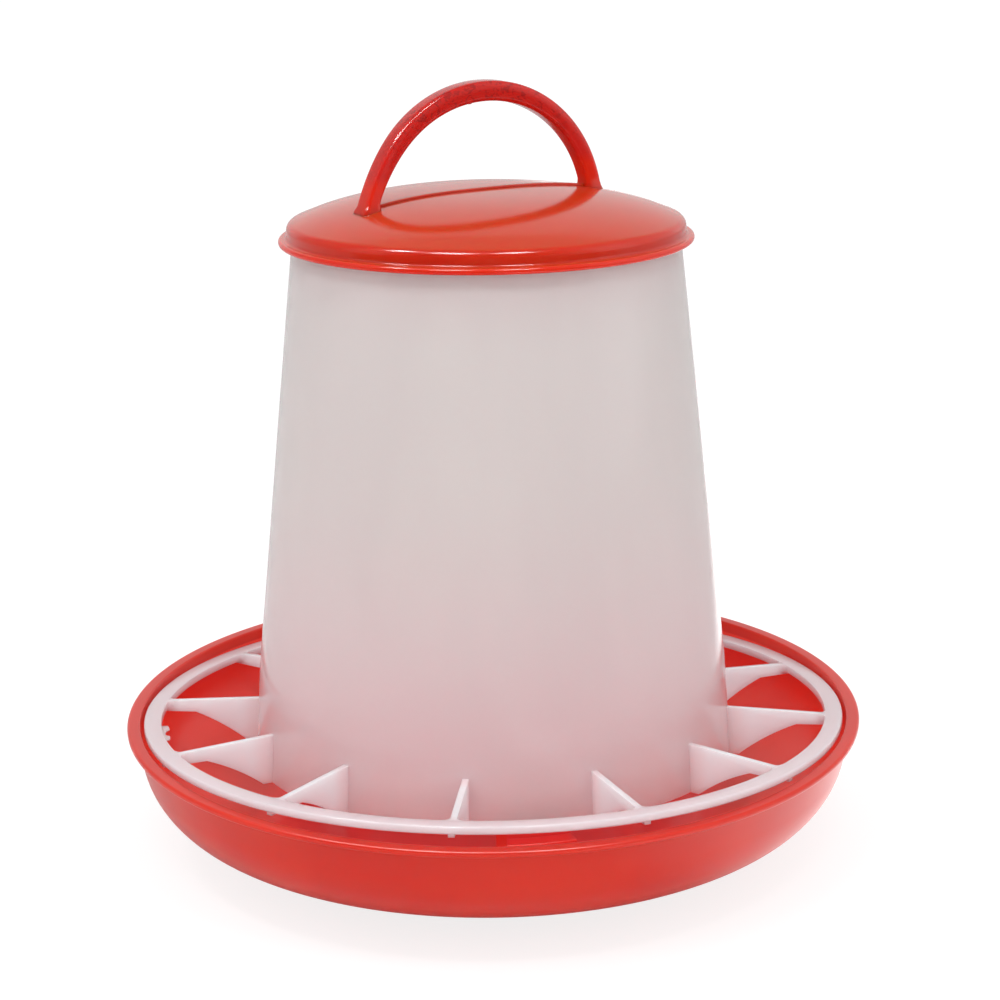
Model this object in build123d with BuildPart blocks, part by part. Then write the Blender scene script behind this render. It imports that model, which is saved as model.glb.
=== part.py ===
from build123d import *
import os
from math import cos, degrees, radians, sin, tan

# Sizes in millimetres. The pan stands on z = 0 and the feeder's axis is Z.
# Heights named "over the ring" are measured from the top face of the grille ring,
# along the hopper's own axis, which leans back a little in the pan's loose bayonet.

# Pan
pan_radius = 140.0
pan_height = 51.0
pan_wall = 1.7
pan_foot_radius = 81.0
pan_foot_bend = 10.0
pan_floor_slope = 24.0
pan_bend_radius = 29.0
pan_wall_draft = 11.3
lip_overhang = 3.2
lip_thickness = 2.6
lip_rounding = 1.1
cone_radius = 56.0
cone_height = 50.0
cone_tip_radius = 9.0
cone_bend = 7.0

# Hopper
ring_drop = 0.1
hopper_lean = 2.8
hopper_wall = 1.6
hopper_base_radius = 91.0
hopper_base_drop = 16.5
hopper_waist_radius = 88.85
hopper_waist_height = 20.0
hopper_shoulder_radius = 72.1
hopper_shoulder_height = 182.0
neck_step = 1.8
neck_height = 4.8

# Grille, moulded in one with the hopper
ring_radius = 133.6
ring_width = 6.6
ring_thickness = 3.0
ring_rounding = 0.7
fin_count = 12
fin_thickness = 2.3
fin_first_azimuth = -6.5
fin_rise = 2.0
fin_end_depth = 4.2
fin_straight = 10.8
fin_heel = 3.5
fin_arch_radius = 80.0
fin_corner_radius = 2.6

# Lid, with its handle
lid_wall = 1.4
skirt_clearance = 0.5
skirt_height = 7.7
dome_rise = 11.5
dome_edge_slope = 24.0
dome_edge_rounding = 3.5
flange_width = 3.0
flange_thickness = 2.4
flange_rounding = 1.1
flange_drop = 0.9
handle_yaw = 30.0
handle_shift = -1.0
handle_half_span = 49.8
handle_rise = 50.7
handle_spring_height = 0.8
handle_width = 8.5
handle_leg_thickness = 5.6
handle_crown_thickness = 7.4
handle_rounding = 1.6
crest_width = 1.8
crest_height = 0.7

# Bayonets: three lugs each, one pair between pan and hopper, one between hopper and lid
lug_count = 3
base_lug_reach = 5.6
base_lug_thickness = 2.5
base_lug_angle = 13.0
base_lug_azimuth = 10.0
post_stem = 3.2
post_shelf = 2.4
post_entry_angle = 3.0
post_stop_angle = 2.5
post_gap = 0.3
post_side_gap = 1.2
top_lug_thickness = 1.6
top_lug_angle = 18.0
top_lug_azimuth = 30.0
top_lug_play = 0.6
seat_gap = 0.3
lug_side_gap = 0.5

# Heights and radii that follow from the sizes above
pan_wall_top_radius = pan_radius - lip_overhang
lip_underside = pan_height - lip_thickness
slope_rise = tan(radians(pan_floor_slope))
draft_run = tan(radians(pan_wall_draft))
bend_corner_height = (
    (pan_wall_top_radius - lip_underside * draft_run - pan_foot_radius)
    * slope_rise / (1 - slope_rise * draft_run)
)
bend_corner_radius = pan_foot_radius + bend_corner_height / slope_rise

ring_height = pan_height - ring_drop
base_height = ring_height - hopper_base_drop
waist_height = ring_height + hopper_waist_height
shoulder_height = ring_height + hopper_shoulder_height
rim_height = shoulder_height + neck_height
neck_radius = hopper_shoulder_radius - neck_step
ring_bore_radius = ring_radius - ring_width

skirt_bore_radius = hopper_shoulder_radius + skirt_clearance
skirt_radius = skirt_bore_radius + lid_wall
skirt_underside = shoulder_height - flange_drop
dome_corner_height = skirt_underside + skirt_height
dome_top = dome_corner_height + dome_rise
handle_spring = dome_corner_height + handle_spring_height

# The lean carries the hopper's foot forward, lifts its front lug and lowers the back ones.
# The hopper leans back as far as its lugs find room between the shelves and the hooks.
foot_shift = hopper_base_drop * sin(radians(hopper_lean))
base_bore_radius = hopper_base_radius - hopper_wall
lug_rises = [
    base_bore_radius * sin(radians(hopper_lean)) * cos(radians(base_lug_azimuth + turn + end))
    for turn in (360 / lug_count * index for index in range(lug_count))
    for end in (-base_lug_angle / 2, 0, base_lug_angle / 2)
]
base_lug_inner = base_bore_radius - base_lug_reach
post_radius = base_lug_inner - post_side_gap
post_reach = base_bore_radius - post_side_gap
slot_bottom = base_height + min(lug_rises) - post_gap
slot_top = base_height + base_lug_thickness + max(lug_rises) + post_gap
post_top = slot_top + post_shelf
stop_gap_angle = degrees((post_gap + foot_shift) / base_lug_inner)
post_angle = base_lug_angle + stop_gap_angle + post_entry_angle


def radial_section(azimuth):
    # Upright plane through the axis: its x points outwards, azimuth 0 is the front (-Y)
    return Plane.XZ.rotated((0, 0, azimuth - 90))


def turned(azimuth, angle):
    # The section that starts a feature of that angle, centred on the azimuth
    return radial_section(azimuth - angle / 2)


def dome_line(radius, corner_height, top_height):
    # Half of the dome's profile, from its edge to its level top on the axis
    edge_direction = (-cos(radians(dome_edge_slope)), sin(radians(dome_edge_slope)))
    Spline((radius, corner_height), (0, top_height), tangents=[edge_direction, (-1, 0)])


# Pan: one moulding of even wall, with the spreader cone in its middle and a lip round its rim
with BuildPart() as pan:
    with BuildSketch(Plane.XZ) as pan_wall_section:
        with BuildLine():
            FilletPolyline(
                (0, cone_height - pan_wall),
                (cone_tip_radius, cone_height - pan_wall),
                (cone_radius, 0),
                (pan_foot_radius, 0),
                (bend_corner_radius, bend_corner_height),
                (pan_wall_top_radius, lip_underside),
                radius=[cone_bend, cone_bend, pan_foot_bend, pan_bend_radius],
            )
            offset(amount=pan_wall, side=Side.LEFT)
        make_face()
    revolve(axis=Axis.Z)
    with BuildSketch(Plane.XZ) as lip_section:
        with Locations((pan_radius, lip_underside)):
            Rectangle(lip_overhang + pan_wall, lip_thickness, align=(Align.MAX, Align.MIN))
        fillet(lip_section.vertices(), lip_rounding)
    revolve(axis=Axis.Z)
    for index in range(lug_count):
        lug_azimuth = base_lug_azimuth + 360 / lug_count * index
        # The hook opens towards positive turn, where the lug leaves it, and is shut by a stop
        post_start = lug_azimuth - base_lug_angle / 2 - stop_gap_angle
        with BuildSketch(radial_section(post_start)) as post_section:
            with Locations((post_radius, pan_wall / 2)):
                Rectangle(post_stem, post_top - pan_wall / 2, align=(Align.MAX, Align.MIN))
            for shelf_underside in (slot_bottom - post_shelf, slot_top):
                with Locations((post_radius - post_stem, shelf_underside)):
                    Rectangle(
                        post_reach - post_radius + post_stem, post_shelf, align=(Align.MIN, Align.MIN)
                    )
        revolve(axis=Axis.Z, revolution_arc=post_angle)
        with BuildSketch(radial_section(post_start - post_stop_angle)) as stop_section:
            with Locations((post_radius - post_stem, slot_bottom - post_shelf)):
                Rectangle(
                    post_reach - post_radius + post_stem,
                    post_top - slot_bottom + post_shelf,
                    align=(Align.MIN, Align.MIN),
                )
            with Locations((post_radius, pan_wall / 2)):
                Rectangle(post_stem, post_top - pan_wall / 2, align=(Align.MAX, Align.MIN))
        revolve(axis=Axis.Z, revolution_arc=post_stop_angle)

# Fin: an upright web with a flat arch under it, from the hopper's wall to the ring's outer edge
fin_root_radius = hopper_base_radius - hopper_wall / 2
fin_arch_start = ring_bore_radius - fin_straight
fin_arch_end = hopper_base_radius + fin_heel
with BuildPart() as fin:
    with BuildSketch(radial_section(fin_first_azimuth)) as fin_profile:
        with BuildLine():
            Polyline(
                (fin_root_radius, base_height),
                (hopper_waist_radius - hopper_wall / 2, ring_height + fin_rise),
                (hopper_waist_radius + hopper_wall / 2, ring_height + fin_rise),
                (ring_bore_radius, ring_height),
                (ring_radius - ring_rounding, ring_height - ring_rounding),
                (ring_radius - ring_rounding, ring_height - fin_end_depth),
                (fin_arch_start, ring_height - fin_end_depth),
            )
            RadiusArc(
                (fin_arch_start, ring_height - fin_end_depth),
                (fin_arch_end, base_height),
                -fin_arch_radius,
            )
            Line((fin_arch_end, base_height), (fin_root_radius, base_height))
        make_face()
    extrude(amount=fin_thickness / 2, both=True)

# Hopper: a tapered tube with a stepped-in neck, a ring of fins round its foot and two sets of lugs
with BuildPart() as hopper:
    with BuildSketch(Plane.XZ) as hopper_section:
        with BuildLine():
            Polyline(
                (hopper_base_radius, base_height),
                (hopper_waist_radius, waist_height),
                (hopper_shoulder_radius, shoulder_height),
                (neck_radius, shoulder_height),
                (neck_radius, rim_height),
            )
            offset(amount=hopper_wall, side=Side.LEFT, kind=Kind.INTERSECTION)
        make_face()
    revolve(axis=Axis.Z)
    with BuildSketch(Plane.XY.offset(ring_height)) as ring_plan:
        Circle(ring_radius - ring_width / 2)
        Circle(ring_bore_radius, mode=Mode.SUBTRACT)
        with PolarLocations(ring_bore_radius, fin_count, start_angle=fin_first_azimuth - 90):
            Rectangle(2 * fin_corner_radius + ring_width, fin_thickness)
        fillet(
            ring_plan.vertices().filter_by(
                lambda corner: abs(Vector(corner.X, corner.Y).length - ring_bore_radius) < 0.01
            ),
            fin_corner_radius,
        )
    extrude(amount=-ring_thickness)
    with BuildSketch(Plane.XZ) as ring_section:
        with Locations((ring_radius, ring_height)):
            Rectangle(ring_width, ring_thickness, align=(Align.MAX, Align.MAX))
        fillet(ring_section.vertices().group_by(Axis.X)[-1], ring_rounding)
    revolve(axis=Axis.Z)
    with PolarLocations(0, fin_count):
        add(fin.part)
    for index in range(lug_count):
        spread = 360 / lug_count * index
        with BuildSketch(turned(base_lug_azimuth + spread, base_lug_angle)) as base_lug:
            with Locations((base_lug_inner, base_height)):
                Rectangle(
                    base_lug_reach + hopper_wall / 2, base_lug_thickness, align=(Align.MIN, Align.MIN)
                )
        revolve(axis=Axis.Z, revolution_arc=base_lug_angle)
        with BuildSketch(turned(top_lug_azimuth + spread, top_lug_angle)) as neck_lug:
            with Locations((skirt_bore_radius - lug_side_gap, rim_height - top_lug_play)):
                Rectangle(
                    neck_step + skirt_clearance - lug_side_gap + hopper_wall / 2,
                    top_lug_thickness,
                    align=(Align.MAX, Align.MAX),
                )
        revolve(axis=Axis.Z, revolution_arc=top_lug_angle)

# Lid: a domed cap with a flanged skirt, an arched handle standing on it and lugs inside the skirt
with BuildPart() as lid:
    with BuildSketch(Plane.XZ) as lid_section:
        with BuildLine():
            Line((0, skirt_underside), (skirt_radius, skirt_underside))
            Line((skirt_radius, skirt_underside), (skirt_radius, dome_corner_height))
            dome_line(skirt_radius, dome_corner_height, dome_top)
            Line((0, dome_top), (0, skirt_underside))
        make_face()
        fillet(lid_section.vertices().group_by(Axis.X)[-1].sort_by(Axis.Y)[-1], dome_edge_rounding)
    revolve(axis=Axis.Z)
    with BuildSketch(Plane.XZ.rotated((0, 0, handle_yaw))) as handle_profile:
        with Locations((handle_shift, handle_spring)):
            Ellipse(handle_half_span, handle_rise)
            Ellipse(
                handle_half_span - handle_leg_thickness,
                handle_rise - handle_crown_thickness,
                mode=Mode.SUBTRACT,
            )
            Rectangle(
                3 * handle_half_span, 2 * handle_rise, align=(Align.CENTER, Align.MAX), mode=Mode.SUBTRACT
            )
    extrude(amount=handle_width / 2, both=True)
    fillet(
        lid.edges().filter_by(
            lambda edge: edge.geom_type == GeomType.ELLIPSE and edge.length > handle_half_span
        ),
        handle_rounding,
    )
    with BuildSketch(Plane.XZ.rotated((0, 0, handle_yaw))) as crest_profile:
        with BuildLine():
            Line((0, dome_corner_height), (skirt_radius, dome_corner_height))
            Line((skirt_radius, dome_corner_height), (skirt_radius, dome_corner_height + crest_height))
            dome_line(skirt_radius, dome_corner_height + crest_height, dome_top + crest_height)
            Line((0, dome_top + crest_height), (0, dome_corner_height))
        make_face()
        mirror(about=Plane.YZ)
        with Locations((handle_shift, dome_corner_height)):
            Rectangle(
                2 * handle_half_span - handle_leg_thickness, 2 * dome_rise, mode=Mode.INTERSECT
            )
    extrude(amount=crest_width / 2, both=True)
    with BuildSketch(Plane.XZ) as flange_section:
        with Locations((skirt_radius + flange_width, skirt_underside)):
            Rectangle(flange_width + lid_wall, flange_thickness, align=(Align.MAX, Align.MIN))
        fillet(flange_section.vertices().group_by(Axis.X)[-1], flange_rounding)
    revolve(axis=Axis.Z)
    with BuildSketch(Plane.XZ) as lid_hollow:
        with BuildLine():
            Line((0, skirt_underside), (skirt_bore_radius, skirt_underside))
            Line((skirt_bore_radius, skirt_underside), (skirt_bore_radius, dome_corner_height - lid_wall))
            dome_line(skirt_bore_radius, dome_corner_height - lid_wall, dome_top - lid_wall)
            Line((0, dome_top - lid_wall), (0, skirt_underside))
        make_face()
        fillet(
            lid_hollow.vertices().group_by(Axis.X)[-1].sort_by(Axis.Y)[-1],
            dome_edge_rounding - lid_wall,
        )
    revolve(axis=Axis.Z, mode=Mode.SUBTRACT)
    for index in range(lug_count):
        # Half a pitch round from the hopper's lugs, which is where the lid lifts off
        lug_azimuth = top_lug_azimuth + 360 / lug_count * (index + 0.5)
        with BuildSketch(turned(lug_azimuth, top_lug_angle)) as lid_lug:
            with Locations((neck_radius + lug_side_gap, shoulder_height + seat_gap)):
                Rectangle(
                    skirt_bore_radius - neck_radius - lug_side_gap + lid_wall / 2,
                    top_lug_thickness,
                    align=(Align.MIN, Align.MIN),
                )
        revolve(axis=Axis.Z, revolution_arc=top_lug_angle)

# Hopper and lid lean back together about the middle of the ring
lean_axis = Axis((0, 0, ring_height), (1, 0, 0))
hopper.part = hopper.part.rotate(lean_axis, -hopper_lean)
lid.part = lid.part.rotate(lean_axis, -hopper_lean)

os.makedirs("parts", exist_ok=True)
pan.part.label = "pan"
export_step(pan.part, "parts/pan.step")
hopper.part.label = "hopper"
export_step(hopper.part, "parts/hopper.step")
lid.part.label = "lid"
export_step(lid.part, "parts/lid.step")
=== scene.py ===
import math

import bpy
from mathutils import Matrix, Vector


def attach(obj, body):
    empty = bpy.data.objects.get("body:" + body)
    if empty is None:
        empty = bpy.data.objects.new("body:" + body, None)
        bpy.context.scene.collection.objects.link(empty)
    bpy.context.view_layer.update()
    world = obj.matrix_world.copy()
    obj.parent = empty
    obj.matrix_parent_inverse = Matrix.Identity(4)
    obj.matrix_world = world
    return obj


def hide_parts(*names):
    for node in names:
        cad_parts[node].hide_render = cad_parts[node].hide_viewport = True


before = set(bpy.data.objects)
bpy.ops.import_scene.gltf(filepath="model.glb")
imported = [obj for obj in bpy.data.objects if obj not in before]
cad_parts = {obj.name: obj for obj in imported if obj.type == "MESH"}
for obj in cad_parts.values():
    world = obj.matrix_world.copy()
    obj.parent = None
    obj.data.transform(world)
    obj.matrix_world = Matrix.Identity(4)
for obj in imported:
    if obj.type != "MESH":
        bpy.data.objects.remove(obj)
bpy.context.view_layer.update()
print("frame loaded")

mm = 0.001  # the pieces' sizes are in millimetres and degrees, the finishes' and the studio's in metres
mergeDistance = 0.000002

stance = {"ringHeight": 50.9, "hopperLean": 2.8}  # hopper and lid lean back together about the ring


def deselectAll():
    if bpy.context.mode != "OBJECT":
        bpy.ops.object.mode_set(mode="OBJECT")
    bpy.ops.object.select_all(action="DESELECT")


def pickOnly(piece):
    deselectAll()
    piece.select_set(True)
    bpy.context.view_layer.objects.active = piece


def editAll(piece):
    pickOnly(piece)
    bpy.ops.object.mode_set(mode="EDIT")
    bpy.ops.mesh.select_all(action="SELECT")


def finishEdit(piece):
    bpy.ops.mesh.select_all(action="SELECT")
    bpy.ops.mesh.remove_doubles(threshold=mergeDistance)
    bpy.ops.mesh.normals_make_consistent(inside=False)
    bpy.ops.object.mode_set(mode="OBJECT")
    return piece


def roundCorners(points, radii, fineness=9.0):
    # Each corner becomes an arc of its radius, one point about every so many degrees
    rounded = []
    count = len(points)
    for index, radius in enumerate(radii):
        here = Vector(points[index])
        if not radius:
            rounded.append(tuple(here))
            continue
        before = (Vector(points[(index - 1) % count]) - here).normalized()
        after = (Vector(points[(index + 1) % count]) - here).normalized()
        turn = math.pi - before.angle(after)
        reach = radius * math.tan(turn / 2)
        middle = here + (before + after).normalized() * radius / math.cos(turn / 2)
        start = here + before * reach - middle
        end = here + after * reach - middle
        steps = max(2, round(math.degrees(turn) / fineness))
        for step in range(steps + 1):
            share = step / steps
            spot = start * math.sin((1 - share) * turn) + end * math.sin(share * turn)
            rounded.append(tuple(middle + spot / math.sin(turn)))
    return rounded


def offsetCorners(points, distance):
    # The same path moved sideways to its left
    moved = []
    for index, point in enumerate(points):
        here = Vector(point)
        sides = []
        for start, end in ((index - 1, index), (index, index + 1)):
            if start >= 0 and end < len(points):
                along = (Vector(points[end]) - Vector(points[start])).normalized()
                sides.append(Vector((-along.y, along.x)))
        middle = sum(sides, Vector((0, 0))).normalized()
        moved.append(tuple(here + middle * distance / middle.dot(sides[0])))
    return moved


def boxSection(inner, outer, low, high):
    return [(inner, low), (outer, low), (outer, high), (inner, high)]


def outlineFace(name, points, azimuth=None):
    # A flat face with that outline: upright through the axis at an azimuth, or level
    deselectAll()
    bpy.ops.mesh.primitive_circle_add(vertices=len(points), radius=mm, fill_type="NGON")
    face = bpy.context.object
    face.name = name
    for vertex, point in zip(face.data.vertices, points):
        if azimuth is not None:
            turn = math.radians(azimuth)
            point = (point[0] * math.sin(turn), -point[0] * math.cos(turn), point[1])
        vertex.co = Vector(point) * mm
    return face


def spunPiece(name, points, azimuth=0.0, angle=360.0, steps=288):
    # A section turned about the axis: a full ring, or an arc with closed ends
    piece = outlineFace(name, points, azimuth)
    editAll(piece)
    if angle == 360.0:
        bpy.ops.mesh.delete(type="ONLY_FACE")
        bpy.ops.mesh.select_all(action="SELECT")
    bpy.ops.mesh.spin(steps=steps, dupli=False, angle=math.radians(angle), center=(0, 0, 0), axis=(0, 0, -1))
    return finishEdit(piece)


def extrudedPiece(name, points, direction, azimuth=None):
    # A flat outline pushed out along a direction
    piece = outlineFace(name, points, azimuth)
    editAll(piece)
    bpy.ops.mesh.extrude_region_move(TRANSFORM_OT_translate={"value": tuple(Vector(direction) * mm)})
    return finishEdit(piece)


def turned(piece, angle):
    piece.data.transform(Matrix.Rotation(math.radians(angle), 4, "Z"))
    return piece


def turnedCopy(piece, angle):
    copy = piece.copy()
    copy.data = piece.data.copy()
    bpy.context.collection.objects.link(copy)
    return turned(copy, angle)


def joined(name, pieces):
    pickOnly(pieces[0])
    for piece in pieces:
        piece.select_set(True)
    bpy.ops.object.join()
    pieces[0].name = name
    return pieces[0]


def united(base, other):
    # One clean skin from two solids that overlap
    pickOnly(base)
    bpy.ops.object.modifier_add(type="BOOLEAN")
    union = base.modifiers[-1]
    union.operation = "UNION"
    union.solver = "EXACT"
    union.object = other
    bpy.ops.object.modifier_apply(modifier=union.name)
    bpy.data.objects.remove(other)
    return base


def softened(piece, width, angle=40.0):
    # Two-step bevel on every edge sharper than the angle
    pickOnly(piece)
    bpy.ops.object.modifier_add(type="BEVEL")
    bevel = piece.modifiers[-1]
    bevel.width = width * mm
    bevel.segments = 2
    bevel.limit_method = "ANGLE"
    bevel.angle_limit = math.radians(angle)
    bpy.ops.object.modifier_apply(modifier=bevel.name)
    return piece


def smoothed(piece, angle):
    pickOnly(piece)
    bpy.ops.object.shade_smooth_by_angle(angle=math.radians(angle))
    return piece


def leanBack(piece):
    pivot = Vector((0, 0, stance["ringHeight"] * mm))
    lean = Matrix.Rotation(math.radians(-stance["hopperLean"]), 4, "X")
    piece.data.transform(Matrix.Translation(pivot) @ lean @ Matrix.Translation(-pivot))
    return piece


# The feed pan: one shell of even wall with a cone, a lip and three bayonet posts
panSizes = {
    "radius": 140.0, "height": 51.0, "wall": 1.7, "footRadius": 81.0, "footBend": 10.0,
    "floorSlope": 24.0, "wallDraft": 11.3, "wallBend": 29.0, "wallTopRadius": 136.8,
    "lipThickness": 2.6, "lipRounding": 1.1, "lipInnerRounding": 0.7,
    "coneRadius": 56.0, "coneHeight": 50.0, "coneTip": 9.0, "coneBend": 7.0,
    "postCount": 3, "postAzimuth": 10.0, "postStart": -7.26, "postAngle": 16.76, "stopAngle": 2.5,
    "stemInner": 78.7, "stemOuter": 81.9, "stemFoot": 0.9, "stemRounding": 0.5,
    "shelfInner": 79.9, "shelfOuter": 88.2, "shelfThickness": 2.4, "shelfRounding": 0.4,
    "slotLow": 30.93, "slotHigh": 41.56, "smoothAngle": 32.0, "bendFineness": 3.0,
    "roundSteps": 320, "postSteps": 12, "stopSteps": 4,
}


def buildShell():
    s = panSizes
    slope = math.tan(math.radians(s["floorSlope"]))
    draft = math.tan(math.radians(s["wallDraft"]))
    underLip = s["height"] - s["lipThickness"]
    cornerHeight = (s["wallTopRadius"] - underLip * draft - s["footRadius"]) * slope / (1 - slope * draft)
    under = [
        (0, s["coneHeight"] - s["wall"]), (s["coneTip"], s["coneHeight"] - s["wall"]),
        (s["coneRadius"], 0), (s["footRadius"], 0),
        (s["footRadius"] + cornerHeight / slope, cornerHeight), (s["wallTopRadius"], underLip),
    ]
    bends = [0, s["coneBend"], s["coneBend"], s["footBend"], s["wallBend"], 0]
    turns = [0, 1, -1, -1, -1, 0]
    inside = offsetCorners(under, s["wall"])
    inside[0] = (0, s["coneHeight"])
    insideBends = [bend + turn * s["wall"] for bend, turn in zip(bends, turns)]
    lip = [
        under[-2], under[-1], (s["radius"], underLip), (s["radius"], s["height"]),
        (s["wallTopRadius"] - s["wall"], s["height"]), inside[-2],
    ]
    lipBends = [0, 0, s["lipRounding"], s["lipRounding"], s["lipInnerRounding"], 0]
    outerPath = roundCorners(under, bends, s["bendFineness"])[:-1]
    innerPath = roundCorners(inside, insideBends, s["bendFineness"])[:-1]
    section = outerPath + roundCorners(lip, lipBends)[1:-1] + innerPath[::-1]
    return spunPiece("pan", section, steps=s["roundSteps"])


def buildPost(start):
    # A stem with two shelves, and a stop that closes the slot between them
    s = panSizes
    low = s["slotLow"] - s["shelfThickness"]
    high = s["slotHigh"] + s["shelfThickness"]
    stem = roundCorners(
        boxSection(s["stemInner"], s["stemOuter"], s["stemFoot"], high),
        [0, 0, s["stemRounding"], s["stemRounding"]])
    early = start - s["stopAngle"]
    parts = [spunPiece("postStem", stem, early, s["postAngle"] + s["stopAngle"], s["postSteps"])]
    for under in (low, s["slotHigh"]):
        shelf = roundCorners(
            boxSection(s["shelfInner"], s["shelfOuter"], under, under + s["shelfThickness"]),
            [0, s["shelfRounding"], s["shelfRounding"], 0])
        parts.append(spunPiece("postShelf", shelf, start, s["postAngle"], s["postSteps"]))
    stop = boxSection(s["shelfInner"], s["shelfOuter"], low, high)
    parts.append(spunPiece("postStop", stop, early, s["stopAngle"], s["stopSteps"]))
    return parts


def buildPan():
    s = panSizes
    parts = [buildShell()]
    for index in range(s["postCount"]):
        parts += buildPost(s["postAzimuth"] + s["postStart"] + 360 / s["postCount"] * index)
    return smoothed(joined("panMoulding", parts), s["smoothAngle"])


# The hopper: a tapered tube, a grille of twelve fins in a ring, and two sets of lugs
hopperSizes = {
    "wall": 1.6, "baseRadius": 91.0, "baseHeight": 34.4, "waistRadius": 88.85, "waistHeight": 70.9,
    "shoulderRadius": 72.1, "shoulderHeight": 232.9, "neckRadius": 70.3, "rimHeight": 237.7,
    "tubeBends": [0.3, 0, 60.0, 0.5, 0.3, 0.4, 0.4, 0.3, 0.5, 58.0, 0.3],
    "tubeFineness": 12.0, "overFins": 1.2, "roundSteps": 288,
    "ringRadius": 133.6, "ringBore": 127.0, "ringTop": 50.9, "ringThickness": 3.0, "ringRounding": 0.7,
    "ringBends": [0.25, 0.7, 0.7, 0.35], "ringFineness": 30.0,
    "finCount": 12, "firstFin": -6.5, "finThickness": 2.3, "finRise": 2.0, "finEndDepth": 4.2,
    "finStraight": 10.8, "finHeel": 3.5, "finArch": 80.0, "archSteps": 8,
    "cornerRadius": 2.6, "cornerSteps": 6, "cornerOverlap": 1.5, "cornerInset": 0.05, "webInset": 0.02,
    "lugCount": 3, "lugSteps": 8, "lugRounding": 0.4, "lugSet": 0.9, "lugLift": 0.01,
    "lugAzimuth": 10.0, "lugInner": 83.8, "lugHeight": 2.5, "lugAngle": 13.0,
    "neckLugOuter": 72.1, "neckLugAzimuth": 30.0, "neckLugAngle": 18.0, "neckLugHeight": 1.6,
    "neckLugDrop": 0.6, "neckLugSet": 0.8, "neckLugRounding": 0.3,
    "flashDrop": 1.0, "flashThickness": 0.5,
    "flashEdge": [
        (-82.5, 127.4), (-82.5, 124.6), (-80.5, 124.2), (-79.5, 125.9),
        (-77.5, 126.3), (-76.6, 124.9), (-75.2, 125.3), (-74.6, 127.4),
    ],
    "edgeSoftness": 0.35, "sharpAngle": 50.0, "smoothAngle": 40.0,
}


def buildTube():
    s = hopperSizes
    outer = [
        (s["baseRadius"], s["baseHeight"]), (s["waistRadius"], s["waistHeight"]),
        (s["shoulderRadius"], s["shoulderHeight"]), (s["neckRadius"], s["shoulderHeight"]),
        (s["neckRadius"], s["rimHeight"]),
    ]
    inner = offsetCorners(outer, s["wall"])
    # One more ring of edges just over the fins keeps the tall faces above them whole
    over = s["ringTop"] + s["finRise"] + s["overFins"]
    share = (over - s["baseHeight"]) / (s["waistHeight"] - s["baseHeight"])
    overFins = tuple(Vector(outer[0]).lerp(Vector(outer[1]), share))
    section = outer[:1] + [overFins] + outer[1:] + inner[::-1]
    path = roundCorners(section, s["tubeBends"], s["tubeFineness"])
    return spunPiece("hopperTube", path, steps=s["roundSteps"])


def buildRing():
    s = hopperSizes
    section = boxSection(s["ringBore"], s["ringRadius"], s["ringTop"] - s["ringThickness"], s["ringTop"])
    path = roundCorners(section, s["ringBends"], s["ringFineness"])
    return spunPiece("grilleRing", path, steps=s["roundSteps"])


def finOutline():
    # Out along the top to the ring, back level for a little, then down an arch to the heel at the foot
    s = hopperSizes
    top = s["ringTop"] + s["finRise"]
    under = s["ringTop"] - s["finEndDepth"]
    end = s["ringRadius"] - s["ringRounding"]
    archStart = Vector((s["ringBore"] - s["finStraight"], under))
    archEnd = Vector((s["baseRadius"] + s["finHeel"], s["baseHeight"]))
    chord = archEnd - archStart
    halfTurn = math.asin(chord.length / 2 / s["finArch"])
    below = Vector((-chord.y, chord.x)).normalized()  # from the chord towards the arch's centre
    centre = (archStart + archEnd) / 2 + below * s["finArch"] * math.cos(halfTurn)
    spoke = archStart - centre
    arch = []
    for step in range(s["archSteps"] + 1):
        angle = 2 * halfTurn * step / s["archSteps"]
        arch.append(tuple(centre + Vector((
            spoke.x * math.cos(angle) - spoke.y * math.sin(angle),
            spoke.x * math.sin(angle) + spoke.y * math.cos(angle)))))
    return [
        (s["waistRadius"] - s["wall"] / 2, top), (s["waistRadius"] + s["wall"] / 2, top),
        (s["ringBore"], s["ringTop"]), (end, s["ringTop"] - s["ringRounding"]), (end, under),
    ] + arch + [(s["baseRadius"] - s["wall"] / 2, s["baseHeight"])]


def gussetOutline():
    # Round webs, as (along the fin, across it), in the corners between a fin and the ring's bore
    s = hopperSizes
    edge = s["finThickness"] / 2
    radius = s["cornerRadius"]
    outline = []
    for side in (1, -1):
        sweep = []
        for step in range(s["cornerSteps"] + 1):
            angle = math.radians(90 * step / s["cornerSteps"])
            along = s["ringBore"] - s["cornerInset"] - radius + radius * math.sin(angle)
            sweep.append((along, side * (edge + radius - radius * math.cos(angle))))
        sweep.append((s["ringBore"] + s["cornerOverlap"], side * (edge + radius)))
        outline += sweep if side == 1 else sweep[::-1]
    return outline


def buildFins():
    s = hopperSizes
    turn = math.radians(s["firstFin"])
    across = Vector((math.cos(turn), math.sin(turn), 0))
    outward = Vector((math.sin(turn), -math.cos(turn), 0))
    fin = extrudedPiece("fin", finOutline(), across * s["finThickness"], s["firstFin"])
    fin.data.transform(Matrix.Translation(-across * s["finThickness"] / 2 * mm))
    inset = s["webInset"]  # the webs end just inside the ring's faces
    low = Vector((0, 0, s["ringTop"] - s["ringThickness"] + inset))
    plan = [tuple(outward * along + across * sideways + low) for along, sideways in gussetOutline()]
    gusset = extrudedPiece("finGusset", plan, (0, 0, s["ringThickness"] - 2 * inset))
    fins = [united(fin, gusset)]
    for index in range(1, s["finCount"]):
        fins.append(turnedCopy(fins[0], 360 / s["finCount"] * index))
    return joined("fins", fins)


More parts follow.
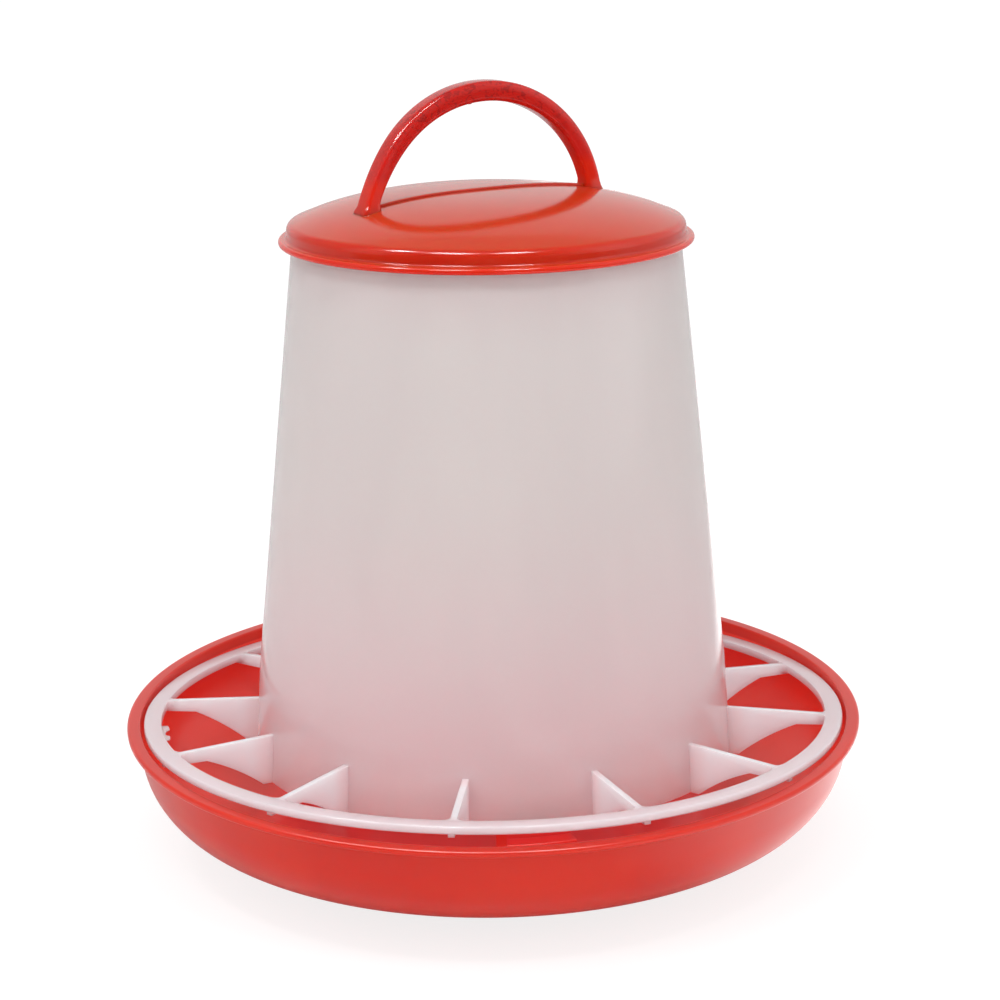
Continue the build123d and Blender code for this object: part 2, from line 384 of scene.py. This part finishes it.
def buildFlash():
    # A ragged scrap of flash inside the ring at the left
    s = hopperSizes
    scrap = []
    for azimuth, reach in s["flashEdge"]:
        turn = math.radians(azimuth)
        scrap.append((reach * math.sin(turn), -reach * math.cos(turn), s["ringTop"] - s["flashDrop"]))
    return extrudedPiece("flash", scrap, (0, 0, s["flashThickness"]))


def buildHopperLugs():
    s = hopperSizes
    foot = roundCorners(
        boxSection(s["lugInner"], s["baseRadius"] - s["lugSet"], s["baseHeight"] + s["lugLift"],
                   s["baseHeight"] + s["lugHeight"]),
        [s["lugRounding"], 0, 0, s["lugRounding"]])
    top = s["rimHeight"] - s["neckLugDrop"]
    neck = roundCorners(
        boxSection(s["neckRadius"] - s["neckLugSet"], s["neckLugOuter"], top - s["neckLugHeight"], top),
        [0, s["neckLugRounding"], s["neckLugRounding"], 0])
    lugs = []
    for index in range(s["lugCount"]):
        turn = 360 / s["lugCount"] * index
        lugStart = s["lugAzimuth"] + turn - s["lugAngle"] / 2
        lugs.append(spunPiece("footLug", foot, lugStart, s["lugAngle"], s["lugSteps"]))
        lugStart = s["neckLugAzimuth"] + turn - s["neckLugAngle"] / 2
        lugs.append(spunPiece("neckLug", neck, lugStart, s["neckLugAngle"], s["lugSteps"]))
    return lugs


def buildHopper():
    s = hopperSizes
    tube = buildTube()
    ring = buildRing()
    hopper = united(tube, united(ring, buildFins()))
    hopper = united(hopper, joined("lugs", buildHopperLugs() + [buildFlash()]))
    hopper.name = "hopperMoulding"
    softened(hopper, s["edgeSoftness"], s["sharpAngle"])
    return leanBack(smoothed(hopper, s["smoothAngle"]))


# The lid: a domed cap with a flange, an arched handle, a crest rib and three lugs
lidSizes = {
    "wall": 1.4, "skirtRadius": 74.0, "underside": 232.0, "corner": 239.7,
    "domeRise": 11.5, "domeSlope": 24.0, "domeSteps": 40, "roundSteps": 320,
    "edgeRounding": 3.5, "edgeCut": 5, "flangeWidth": 3.0, "flangeThickness": 2.4,
    "flangeRounding": 1.1, "flangeBlend": 1.2, "flangeInnerRounding": 0.2, "skirtFineness": 10.0,
    "handleYaw": 30.0, "handleShift": -1.0, "halfSpan": 49.8, "rise": 50.7, "spring": 240.5,
    "handleWidth": 8.5, "legThickness": 5.6, "crownThickness": 7.4, "handleRounding": 1.6,
    "handleFineness": 15.0, "workRadius": 47.0, "workThickness": 6.0, "sunkAngle": 14.0, "handleSteps": 96,
    "footFlare": 1.0, "flareAcross": 0.7, "flareHeight": 2.5,
    "splayOut": 2.9, "splayForward": 1.4, "splayHeight": 22.0,
    "nibPlace": (-6.4, 0.0, 283.6), "nibRadius": 0.9, "nibStretch": 1.6, "nibSides": (20, 12),
    "crestWidth": 2.6, "crestHeight": 0.8, "crestDepth": 1.4, "crestSoftness": 0.4, "crestSteps": 48,
    "lugCount": 3, "lugInner": 70.8, "lugLow": 233.2, "lugHeight": 1.6, "lugSet": 0.7,
    "lugAzimuth": 90.0, "lugAngle": 18.0, "lugRounding": 0.3, "lugSteps": 8, "smoothAngle": 38.0,
}


def domeLift(share, radius):
    # Hermite curve from the dome's sloping edge to its level top
    s = lidSizes
    slope = math.tan(math.radians(s["domeSlope"]))
    climb = s["domeRise"] * (3 * share ** 2 - 2 * share ** 3)
    return climb + radius * slope * (share ** 3 - 2 * share ** 2 + share)


def domeCurve(radius, corner):
    line = []
    for step in range(lidSizes["domeSteps"] + 1):
        share = step / lidSizes["domeSteps"]
        line.append((radius * (1 - share), corner + domeLift(share, radius)))
    return line


def domeHeight(radius):
    s = lidSizes
    return s["corner"] + domeLift(1 - radius / s["skirtRadius"], s["skirtRadius"])


def ellipseReach(halfLong, halfHigh, angle):
    return halfLong * halfHigh / math.hypot(halfHigh * math.cos(angle), halfLong * math.sin(angle))


def shapeArch(x, z):
    # A plain arch becomes an ellipse that is thicker at its crown, on straight legs
    s = lidSizes
    radial = math.hypot(x, z)
    angle = math.atan2(z, x)
    isOuter = radial > s["workRadius"]
    fromOuter = s["workRadius"] + s["workThickness"] / 2 - radial
    fromInner = radial - s["workRadius"] + s["workThickness"] / 2
    innerSpan = s["halfSpan"] - s["legThickness"]
    if z < 0:  # below its springing the leg goes straight down into the lid
        side = 1 if x > 0 else -1
        return side * (s["halfSpan"] - fromOuter if isOuter else innerSpan + fromInner), z
    if isOuter:
        reach = ellipseReach(s["halfSpan"], s["rise"], angle) - fromOuter
    else:
        reach = ellipseReach(innerSpan, s["rise"] - s["crownThickness"], angle) + fromInner
    return reach * math.cos(angle), reach * math.sin(angle)


def nearFoot(height, reach):
    return max(0.0, 1 - max(0.0, height) / reach) ** 2


def withinOne(value):
    return max(-1.0, min(1.0, value))


def aboveDome(x, y, z):
    s = lidSizes
    return z + s["spring"] - domeHeight(math.hypot(x + s["handleShift"], y))


def spreadFoot(x, y, z):
    # The left leg splays towards its foot; both feet spread a little and end inside the dome's wall
    s = lidSizes
    height = aboveDome(x, y, z)
    middle = s["halfSpan"] - s["legThickness"] / 2
    if x < 0:
        splay = nearFoot(height, s["splayHeight"])
        x -= s["splayOut"] * splay
        y -= s["splayForward"] * splay
        middle = -middle - s["splayOut"]
    flare = nearFoot(height, s["flareHeight"]) * s["footFlare"]
    x += flare * withinOne((x - middle) / (s["legThickness"] / 2))
    y += flare * withinOne(y / (s["handleWidth"] / 2)) * s["flareAcross"]
    z -= min(0.0, aboveDome(x, y, z) + s["wall"] / 2)
    return x, y, z


def buildHandle():
    s = lidSizes
    halfThick = s["workThickness"] / 2
    halfWide = s["handleWidth"] / 2
    section = roundCorners(
        boxSection(s["workRadius"] - halfThick, s["workRadius"] + halfThick, -halfWide, halfWide),
        [s["handleRounding"]] * 4, s["handleFineness"])
    arch = outlineFace("handle", [(radial, across, 0) for radial, across in section])
    arch.data.transform(Matrix.Rotation(math.radians(s["sunkAngle"]), 4, "Y"))  # it starts below the dome
    editAll(arch)
    sweep = math.radians(180.0 + 2 * s["sunkAngle"])
    bpy.ops.mesh.spin(steps=s["handleSteps"], dupli=False, angle=sweep, center=(0, 0, 0), axis=(0, 1, 0))
    finishEdit(arch)
    for vertex in arch.data.vertices:
        x, y, z = vertex.co / mm
        x, z = shapeArch(x, z)
        x, y, z = spreadFoot(x, y, z)
        vertex.co = Vector((x + s["handleShift"], y, z + s["spring"])) * mm
    return turned(arch, s["handleYaw"])


def buildCrest():
    # A low rib over the dome, from foot to foot in the handle's plane
    s = lidSizes
    reach = s["halfSpan"] - s["legThickness"] / 2
    top = []
    for step in range(s["crestSteps"] + 1):
        spot = -reach + 2 * reach * step / s["crestSteps"] + s["handleShift"]
        top.append((spot, domeHeight(abs(spot)) + s["crestHeight"]))
    outline = top + [(spot, height - s["crestDepth"]) for spot, height in reversed(top)]
    points = [(spot, -s["crestWidth"] / 2, height) for spot, height in outline]
    crest = extrudedPiece("crest", points, (0, s["crestWidth"], 0))
    return turned(softened(crest, s["crestSoftness"]), s["handleYaw"])


def buildNib():
    # What the moulding's gate leaves under the handle's crown
    s = lidSizes
    deselectAll()
    sides, rings = s["nibSides"]
    bpy.ops.mesh.primitive_uv_sphere_add(segments=sides, ring_count=rings, radius=s["nibRadius"] * mm)
    nib = bpy.context.object
    for vertex in nib.data.vertices:
        vertex.co.x *= s["nibStretch"]
        vertex.co += Vector(s["nibPlace"]) * mm
    return turned(nib, s["handleYaw"])


def buildDome():
    s = lidSizes
    bore = s["skirtRadius"] - s["wall"]
    flangeTop = s["underside"] + s["flangeThickness"]
    flangeOut = s["skirtRadius"] + s["flangeWidth"]
    outside = domeCurve(s["skirtRadius"], s["corner"])
    inside = domeCurve(bore, s["corner"] - s["wall"])
    # The dome's first points give way to the rounded edge
    edge = s["edgeCut"]
    skirt = roundCorners(
        [(bore, s["underside"]), (flangeOut, s["underside"]), (flangeOut, flangeTop),
         (s["skirtRadius"], flangeTop), (s["skirtRadius"], s["corner"]), outside[edge]],
        [s["flangeInnerRounding"], s["flangeRounding"], s["flangeRounding"], s["flangeBlend"],
         s["edgeRounding"], 0], s["skirtFineness"])
    hollow = roundCorners(
        [(bore, s["underside"]), (bore, s["corner"] - s["wall"]), inside[edge]],
        [0, s["edgeRounding"] - s["wall"], 0], s["skirtFineness"])[1:]
    section = skirt + outside[edge + 1:] + (hollow + inside[edge + 1:])[::-1]
    return spunPiece("lidDome", section, steps=s["roundSteps"])


def buildLidLugs():
    s = lidSizes
    section = roundCorners(
        boxSection(s["lugInner"], s["skirtRadius"] - s["lugSet"], s["lugLow"], s["lugLow"] + s["lugHeight"]),
        [s["lugRounding"], 0, 0, s["lugRounding"]])
    lugs = []
    for index in range(s["lugCount"]):
        start = s["lugAzimuth"] + 360 / s["lugCount"] * index - s["lugAngle"] / 2
        lugs.append(spunPiece("lidLug", section, start, s["lugAngle"], s["lugSteps"]))
    return lugs


def buildLid():
    dome = buildDome()
    lugs = buildLidLugs()
    lid = joined("lidMoulding", [dome, buildHandle(), buildNib(), buildCrest()] + lugs)
    return leanBack(smoothed(lid, lidSizes["smoothAngle"]))


panPiece = buildPan()
print("pan modelled")
hopperPiece = buildHopper()
print("hopper modelled")
lidPiece = buildLid()
print("lid modelled")

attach(panPiece, "pan")
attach(hopperPiece, "hopper")
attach(lidPiece, "lid")
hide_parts("pan")
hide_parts("hopper")
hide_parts("lid")

# Finishes
noGlow = (0.0, 0.0, 0.0)
redLook = {
    "colour": (0.62, 0.021, 0.004), "deep": (0.575, 0.016, 0.003), "clouds": (0.35, 0.65),
    "panRoughness": 0.28, "panSpecular": 0.44, "lidRoughness": 0.13, "lidSpecular": 0.38,
    "waveSize": 28.0, "grainSize": 700.0, "grainShare": 0.12, "flowStretch": (1.0, 1.0, 1.0),
    "bump": 0.05, "bumpDistance": 0.0006,
    "depth": 0.6, "depthReach": (1.0, 0.06, 0.04), "depthScale": 0.012,
    # Painted light: the trough's brighter red stands in for light coming through the wall
    "troughPaintedLight": (0.96, 0.066, 0.040), "troughFacing": (-0.12, 0.12), "lipFrom": (0.0465, 0.0475),
    # Painted light: the glow under the hopper is a painted glow of the red
    "underPaintedGlow": (0.22, 0.018, 0.020), "underFrom": (0.080, 0.098),
    # Painted light: the dome's more orange top
    "domePaintedLight": (0.62, 0.044, 0.009), "domeFacing": (0.70, 0.95),
    "handleColour": (0.50, 0.014, 0.009), "handleFrom": (0.256, 0.262),
    "scuffColour": (0.34, 0.010, 0.008), "scuffSize": 420.0, "scuffEdge": (0.52, 0.62),
    "scuffDetail": 3.0, "scuffWarp": 1.2,
    "scuffFrom": (0.262, 0.284), "scuffLeast": 0.15,
}
milkyLook = {
    # Painted light: the low and high bands are pink, standing in for light from the red pan and lid, and the
    # foot band is whiter, standing in for light at the tube's foot
    "colour": (0.90, 0.80, 0.775), "low": (0.99, 0.67, 0.71), "lowFrom": (0.045, 0.165),
    "high": (0.87, 0.72, 0.715), "highFrom": (0.205, 0.238),
    "foot": (0.97, 0.90, 0.94), "footFrom": (0.036, 0.076),
    # Painted light: the fins' and the ring's colours are lit and shaded copies of the milky colour, and the
    # fins' glow is painted
    "fins": (0.88, 0.87, 0.89), "tubeEdge": (0.0915, 0.100), "finPaintedGlow": (0.04, 0.075, 0.085),
    "ring": (0.82, 0.72, 0.76), "ringEdge": (0.122, 0.128),
    "cloudColour": (0.76, 0.66, 0.67), "cloudShare": 0.22, "clouds": (0.35, 0.65),
    "waveSize": 26.0, "grainSize": 500.0, "grainShare": 0.1, "flowStretch": (1.0, 1.0, 0.2),
    "bump": 0.04, "bumpDistance": 0.0005,
    "roughness": 0.16, "transmission": 0.18, "ior": 1.45,
    "depth": 0.85, "depthReach": (1.0, 0.92, 0.92), "depthScale": 0.008,
}


def addNode(tree, kind, **values):
    node = tree.nodes.new(kind)
    for name, value in values.items():
        setattr(node, name, value)
    return node


def buildFlowGroup():
    # Faint waviness and clouding of a moulded plastic skin
    group = bpy.data.node_groups.new("mouldedFlow", "ShaderNodeTree")
    for name, default in (("Wave Size", 30.0), ("Grain Size", 900.0), ("Grain Share", 0.2)):
        socket = group.interface.new_socket(name=name, in_out="INPUT", socket_type="NodeSocketFloat")
        socket.default_value = default
    group.interface.new_socket(name="Vector", in_out="INPUT", socket_type="NodeSocketVector")
    group.interface.new_socket(name="Cloud", in_out="OUTPUT", socket_type="NodeSocketFloat")
    group.interface.new_socket(name="Height", in_out="OUTPUT", socket_type="NodeSocketFloat")
    inputs = addNode(group, "NodeGroupInput")
    outputs = addNode(group, "NodeGroupOutput")
    wave = addNode(group, "ShaderNodeTexNoise", noise_dimensions="3D")
    wave.inputs["Detail"].default_value = 2.0
    wave.inputs["Roughness"].default_value = 0.45
    grain = addNode(group, "ShaderNodeTexNoise", noise_dimensions="3D")
    grain.inputs["Detail"].default_value = 1.0
    blend = addNode(group, "ShaderNodeMix", data_type="FLOAT")
    group.links.new(inputs.outputs["Vector"], wave.inputs["Vector"])
    group.links.new(inputs.outputs["Wave Size"], wave.inputs["Scale"])
    group.links.new(inputs.outputs["Vector"], grain.inputs["Vector"])
    group.links.new(inputs.outputs["Grain Size"], grain.inputs["Scale"])
    group.links.new(inputs.outputs["Grain Share"], blend.inputs["Factor"])
    group.links.new(wave.outputs["Fac"], blend.inputs["A"])
    group.links.new(grain.outputs["Fac"], blend.inputs["B"])
    group.links.new(wave.outputs["Fac"], outputs.inputs["Cloud"])
    group.links.new(blend.outputs["Result"], outputs.inputs["Height"])
    return group


flowGroup = buildFlowGroup()


def placeFlow(tree, look):
    spot = addNode(tree, "ShaderNodeTexCoord")
    drawn = addNode(tree, "ShaderNodeMapping")
    drawn.inputs["Scale"].default_value = look["flowStretch"]
    flow = addNode(tree, "ShaderNodeGroup", node_tree=flowGroup)
    tree.links.new(spot.outputs["Object"], drawn.inputs["Vector"])
    tree.links.new(drawn.outputs["Vector"], flow.inputs["Vector"])
    flow.inputs["Wave Size"].default_value = look["waveSize"]
    flow.inputs["Grain Size"].default_value = look["grainSize"]
    flow.inputs["Grain Share"].default_value = look["grainShare"]
    return spot, flow


def roughened(tree, shader, flow, look):
    # The skin is never quite flat
    bump = addNode(tree, "ShaderNodeBump")
    bump.inputs["Strength"].default_value = look["bump"]
    bump.inputs["Distance"].default_value = look["bumpDistance"]
    tree.links.new(flow.outputs["Height"], bump.inputs["Height"])
    tree.links.new(bump.outputs["Normal"], shader.inputs["Normal"])


def rampBetween(tree, source, edges, lowValue=0.0, highValue=1.0):
    ramp = addNode(tree, "ShaderNodeMapRange", interpolation_type="SMOOTHSTEP")
    ramp.inputs["From Min"].default_value = edges[0]
    ramp.inputs["From Max"].default_value = edges[1]
    ramp.inputs["To Min"].default_value = lowValue
    ramp.inputs["To Max"].default_value = highValue
    tree.links.new(source, ramp.inputs["Value"])
    return ramp.outputs["Result"]


def mixColours(tree, factor, first, second):
    mix = addNode(tree, "ShaderNodeMix", data_type="RGBA")
    tree.links.new(factor, mix.inputs["Factor"])
    for name, colour in (("A", first), ("B", second)):
        socket = [item for item in mix.inputs if item.name == name and item.type == "RGBA"][0]
        if isinstance(colour, tuple):
            socket.default_value = (*colour, 1.0)
        else:
            tree.links.new(colour, socket)
    return [item for item in mix.outputs if item.type == "RGBA"][0]


def combined(tree, operation, first, second):
    sums = addNode(tree, "ShaderNodeMath", operation=operation)
    for socket, value in zip(sums.inputs, (first, second)):
        if isinstance(value, float):
            socket.default_value = value
        else:
            tree.links.new(value, socket)
    return sums.outputs[0]


def splitUp(tree, vector):
    split = addNode(tree, "ShaderNodeSeparateXYZ")
    tree.links.new(vector, split.inputs["Vector"])
    return split


def distanceFromAxis(tree, place):
    flat = addNode(tree, "ShaderNodeCombineXYZ")
    tree.links.new(place.outputs["X"], flat.inputs["X"])
    tree.links.new(place.outputs["Y"], flat.inputs["Y"])
    length = addNode(tree, "ShaderNodeVectorMath", operation="LENGTH")
    tree.links.new(flat.outputs["Vector"], length.inputs[0])
    return length.outputs["Value"]


def startPlastic(name, look):
    # What red and milky share: light enters the thin wall and spreads in it, and the skin is uneven
    material = bpy.data.materials.new(name)
    material.use_nodes = True
    material.cycles.emission_sampling = "NONE"  # its faint glow isn't a lamp
    tree = material.node_tree
    shader = tree.nodes["Principled BSDF"]
    shader.inputs["Subsurface Weight"].default_value = look["depth"]
    shader.inputs["Subsurface Radius"].default_value = look["depthReach"]
    shader.inputs["Subsurface Scale"].default_value = look["depthScale"]
    spot, flow = placeFlow(tree, look)
    roughened(tree, shader, flow, look)
    return material, tree, shader, spot, flow


def redCompound(tree, flow):
    clouds = rampBetween(tree, flow.outputs["Cloud"], redLook["clouds"])
    return mixColours(tree, clouds, redLook["deep"], redLook["colour"])


def buildPanRed(name):
    look = redLook
    material, tree, shader, spot, flow = startPlastic(name, look)
    shader.inputs["Roughness"].default_value = look["panRoughness"]
    shader.inputs["Specular IOR Level"].default_value = look["panSpecular"]
    # Painted light: the trough's up-facing faces below the lip get a brighter red that stands in for
    # daylight coming through the thin wall
    facing = splitUp(tree, addNode(tree, "ShaderNodeNewGeometry").outputs["Normal"])
    place = splitUp(tree, spot.outputs["Object"])
    inside = rampBetween(tree, facing.outputs["Z"], look["troughFacing"])
    underLip = rampBetween(tree, place.outputs["Z"], look["lipFrom"], 1.0, 0.0)
    troughLightMask = combined(tree, "MULTIPLY", inside, underLip)
    body = mixColours(tree, troughLightMask, redCompound(tree, flow), look["troughPaintedLight"])
    tree.links.new(body, shader.inputs["Base Color"])
    # Painted light: under the hopper the red glows faintly, an emission that stands in for the light its
    # milky wall lets in
    under = rampBetween(tree, distanceFromAxis(tree, place), look["underFrom"], 1.0, 0.0)
    glow = mixColours(tree, combined(tree, "MULTIPLY", under, inside), noGlow, look["underPaintedGlow"])
    tree.links.new(glow, shader.inputs["Emission Color"])
    shader.inputs["Emission Strength"].default_value = 1.0
    return material


def buildLidRed(name):
    look = redLook
    material, tree, shader, spot, flow = startPlastic(name, look)
    shader.inputs["Roughness"].default_value = look["lidRoughness"]
    shader.inputs["Specular IOR Level"].default_value = look["lidSpecular"]
    # Painted light: the dome's up-facing faces are painted a little more orange, standing in for light
    # coming through the dome
    facing = splitUp(tree, addNode(tree, "ShaderNodeNewGeometry").outputs["Normal"])
    dome = rampBetween(tree, facing.outputs["Z"], look["domeFacing"])
    cap = mixColours(tree, dome, redCompound(tree, flow), look["domePaintedLight"])
    # The handle is deeper in colour, and scuffed round its crown
    place = splitUp(tree, spot.outputs["Object"])
    scuffs = addNode(tree, "ShaderNodeTexNoise", noise_dimensions="3D")
    scuffs.inputs["Scale"].default_value = look["scuffSize"]
    scuffs.inputs["Detail"].default_value = look["scuffDetail"]
    scuffs.inputs["Distortion"].default_value = look["scuffWarp"]
    tree.links.new(spot.outputs["Object"], scuffs.inputs["Vector"])
    spots = rampBetween(tree, scuffs.outputs["Fac"], look["scuffEdge"])
    crown = rampBetween(tree, place.outputs["Z"], look["scuffFrom"], look["scuffLeast"], 1.0)
    worn = combined(tree, "MULTIPLY", spots, crown)
    scuffed = mixColours(tree, worn, look["handleColour"], look["scuffColour"])
    handle = rampBetween(tree, place.outputs["Z"], look["handleFrom"])
    tree.links.new(mixColours(tree, handle, cap, scuffed), shader.inputs["Base Color"])
    return material


def buildMilky(name):
    look = milkyLook
    material, tree, shader, spot, flow = startPlastic(name, look)
    shader.inputs["Roughness"].default_value = look["roughness"]
    shader.inputs["Transmission Weight"].default_value = look["transmission"]
    shader.inputs["IOR"].default_value = look["ior"]
    place = splitUp(tree, spot.outputs["Object"])
    fromAxis = distanceFromAxis(tree, place)
    grille = rampBetween(tree, fromAxis, look["tubeEdge"])
    ring = rampBetween(tree, fromAxis, look["ringEdge"])
    # Painted light: the tube is painted pinker near its foot and near its top, standing in for the red pan's
    # and the lid's light shining through, and its lowest band is painted whiter, standing in for light under
    # the ring and fins
    low = rampBetween(tree, place.outputs["Z"], look["lowFrom"], 1.0, 0.0)
    high = rampBetween(tree, place.outputs["Z"], look["highFrom"])
    foot = rampBetween(tree, place.outputs["Z"], look["footFrom"], 1.0, 0.0)
    tube = mixColours(tree, high, mixColours(tree, low, look["colour"], look["low"]), look["high"])
    tube = mixColours(tree, foot, tube, look["foot"])
    # Painted light: the fins are painted whiter and the ring pinker and darker, lit and shaded copies of the
    # same milky plastic
    body = mixColours(tree, grille, tube, mixColours(tree, ring, look["fins"], look["ring"]))
    clouds = rampBetween(tree, flow.outputs["Cloud"], look["clouds"], 0.0, look["cloudShare"])
    tree.links.new(mixColours(tree, clouds, body, look["cloudColour"]), shader.inputs["Base Color"])
    # Painted light: the fins glow faintly, an emission that stands in for light passing through the thin
    # fins
    notRing = rampBetween(tree, fromAxis, look["ringEdge"], 1.0, 0.0)
    fins = combined(tree, "MULTIPLY", grille, notRing)
    tree.links.new(mixColours(tree, fins, noGlow, look["finPaintedGlow"]), shader.inputs["Emission Color"])
    shader.inputs["Emission Strength"].default_value = 1.0
    return material


def dress(piece, material):
    piece.data.materials.clear()
    piece.data.materials.append(material)


dress(panPiece, buildPanRed("redPanPlastic"))
dress(lidPiece, buildLidRed("redLidPlastic"))
dress(hopperPiece, buildMilky("milkyHopperPlastic"))
print("finishes made")

# Camera, floor and lights
studio = {
    "cameraPlace": (0.0, -1.09317, 0.465), "pitch": 0.2941, "yaw": 0.0034, "roll": -0.0135,
    "sensor": 36.0, "lens": 109.08, "clipStart": 0.01, "floorSize": 12.0, "lampAim": (0, 0, 0.2),
    "floorColour": 0.80, "floorSeen": 0.30, "floorGlow": 0.80, "floorRoughness": 0.9,
    # What only the glossy surfaces mirror
    "tableEdge": (-0.75, -0.35), "tableDim": 0.12,
    "sideGlow": 1.1, "sideFrom": (0.06, 0.15), "sideTo": (0.20, 0.28),
    "room": 0.15, "sides": 0.5, "roomEdge": (-0.75, -0.15), "sweep": 0.30, "sweepEdge": (0.70, 0.76),
    "rightGlow": 0.45, "rightEdge": (0.35, 0.85),
    "world": 0.78,
}
lamps = {
    "leftSoftbox": {"place": (-1.1, -0.35, 0.75), "aim": (0, 0, 0.15), "size": (0.7, 1.0), "power": 0.95},
    "rightSoftbox": {"place": (1.2, -0.25, 0.60), "aim": (0, 0, 0.15), "size": (0.7, 1.0), "power": 1.0},
    "farLeftWindow": {"place": (-0.68, -0.32, 1.31), "size": (0.23, 0.16), "power": 1.1},
    "leftWindow": {"place": (-0.34, -0.67, 1.31), "size": (0.45, 0.16), "power": 2.7},
    "rightWindow": {"place": (0.29, -0.69, 1.31), "size": (0.34, 0.16), "power": 2.2},
    # Not mirrored
    "frontFill": {
        "place": (0.15, -1.50, 0.45), "aim": (0, 0, 0.06), "size": (1.6, 0.4), "power": 3.0, "shine": False},
    # Only mirrored: the windows' glints along the lid's shoulder
    "farLeftGlint": {"place": (-0.76, -0.24, 1.31), "size": (0.20, 0.28), "power": 6.5, "light": False},
    "leftGlint": {"place": (-0.34, -0.67, 1.31), "size": (0.42, 0.28), "power": 14.0, "light": False},
    "rightGlint": {"place": (0.29, -0.69, 1.31), "size": (0.36, 0.28), "power": 11.0, "light": False},
}


def grey(level):
    return (level, level, level)


def buildCamera():
    pitch, yaw, roll = studio["pitch"], studio["yaw"], studio["roll"]
    forward = Vector((math.sin(yaw) * math.cos(pitch), math.cos(yaw) * math.cos(pitch), -math.sin(pitch)))
    level = Vector((math.cos(yaw), -math.sin(yaw), 0))
    upright = level.cross(forward)
    right = level * math.cos(roll) + upright * math.sin(roll)
    upward = upright * math.cos(roll) - level * math.sin(roll)
    bpy.ops.object.camera_add(location=studio["cameraPlace"])
    camera = bpy.context.object
    turn = Matrix((right, upward, -forward)).transposed()
    camera.rotation_euler = turn.to_euler()
    camera.data.sensor_width = studio["sensor"]
    camera.data.lens = studio["lens"]
    camera.data.clip_start = studio["clipStart"]
    bpy.context.scene.camera = camera


def buildFloor():
    s = studio
    deselectAll()
    bpy.ops.mesh.primitive_plane_add(size=s["floorSize"], location=(0, 0, 0))
    floor = bpy.context.object
    floor.name = "studioFloor"
    material = bpy.data.materials.new("paleFloor")
    material.use_nodes = True
    material.cycles.emission_sampling = "NONE"  # its glow is only seen, not a lamp
    tree = material.node_tree
    shader = tree.nodes["Principled BSDF"]
    shader.inputs["Roughness"].default_value = s["floorRoughness"]
    shader.inputs["Specular IOR Level"].default_value = 0.0
    rays = addNode(tree, "ShaderNodeLightPath").outputs
    place = splitUp(tree, addNode(tree, "ShaderNodeTexCoord").outputs["Object"])
    # Mirrored in the plastic, the table ends a little way in front of the feeder
    table = rampBetween(tree, place.outputs["Y"], s["tableEdge"], s["tableDim"], s["floorColour"])
    mirrored = mixColours(tree, rays["Is Glossy Ray"], grey(s["floorColour"]), table)
    colour = mixColours(tree, rays["Is Camera Ray"], mirrored, grey(s["floorSeen"]))
    tree.links.new(colour, shader.inputs["Base Color"])
    # and it is brighter beside the pan at the right
    near = rampBetween(tree, place.outputs["X"], s["sideFrom"], 0.0, s["sideGlow"])
    bright = combined(tree, "MULTIPLY", near, rampBetween(tree, place.outputs["X"], s["sideTo"], 1.0, 0.0))
    shine = combined(tree, "MULTIPLY", rays["Is Glossy Ray"], bright)
    seen = combined(tree, "MULTIPLY", rays["Is Camera Ray"], s["floorGlow"])
    glow = addNode(tree, "ShaderNodeEmission")
    tree.links.new(combined(tree, "ADD", seen, shine), glow.inputs["Strength"])
    both = addNode(tree, "ShaderNodeAddShader")
    tree.links.new(shader.outputs[0], both.inputs[0])
    tree.links.new(glow.outputs[0], both.inputs[1])
    tree.links.new(both.outputs[0], tree.nodes["Material Output"].inputs["Surface"])
    floor.data.materials.append(material)


def buildLamps():
    for name, lamp in lamps.items():
        place = Vector(lamp["place"])
        aim = (Vector(lamp.get("aim", studio["lampAim"])) - place).to_track_quat("-Z", "Y")
        bpy.ops.object.light_add(type="AREA", location=place, rotation=aim.to_euler())
        light = bpy.context.object
        light.name = name
        light.data.shape = "RECTANGLE"
        light.data.size, light.data.size_y = lamp["size"]
        light.data.energy = lamp["power"]
        light.visible_diffuse = lamp.get("light", True)
        light.visible_glossy = lamp.get("shine", True)


def background(tree, strength):
    shader = addNode(tree, "ShaderNodeBackground")
    shader.inputs["Color"].default_value = (1, 1, 1, 1)
    if isinstance(strength, float):
        shader.inputs["Strength"].default_value = strength
    else:
        tree.links.new(strength, shader.inputs["Strength"])
    return shader.outputs[0]


def mixShaders(tree, factor, first, second):
    mix = addNode(tree, "ShaderNodeMixShader")
    for socket, source in zip(mix.inputs, (factor, first, second)):
        tree.links.new(source, socket)
    return mix.outputs[0]


def buildWorld():
    s = studio
    world = bpy.data.worlds.new("studioWorld")
    world.use_nodes = True
    bpy.context.scene.world = world
    tree = world.node_tree
    tree.nodes.remove(tree.nodes["Background"])
    # The sweep behind is white; the room in front of the table is dimmer, its right side brighter
    way = splitUp(tree, addNode(tree, "ShaderNodeTexCoord").outputs["Generated"])
    room = rampBetween(tree, way.outputs["Y"], s["roomEdge"], s["room"], s["sides"])
    sweep = rampBetween(tree, way.outputs["Y"], s["sweepEdge"], 0.0, s["sweep"])
    right = rampBetween(tree, way.outputs["X"], s["rightEdge"], 0.0, s["rightGlow"])
    strength = combined(tree, "ADD", combined(tree, "ADD", room, right), sweep)
    rays = addNode(tree, "ShaderNodeLightPath").outputs
    clear = combined(tree, "MAXIMUM", rays["Is Camera Ray"], rays["Is Transmission Ray"])
    lit = mixShaders(tree, rays["Is Glossy Ray"], background(tree, s["world"]), background(tree, strength))
    seen = mixShaders(tree, clear, lit, background(tree, 1.0))
    tree.links.new(seen, tree.nodes["World Output"].inputs["Surface"])


buildCamera()
buildFloor()
buildLamps()
buildWorld()
bpy.context.scene.view_settings.view_transform = "Standard"
print("studio ready")
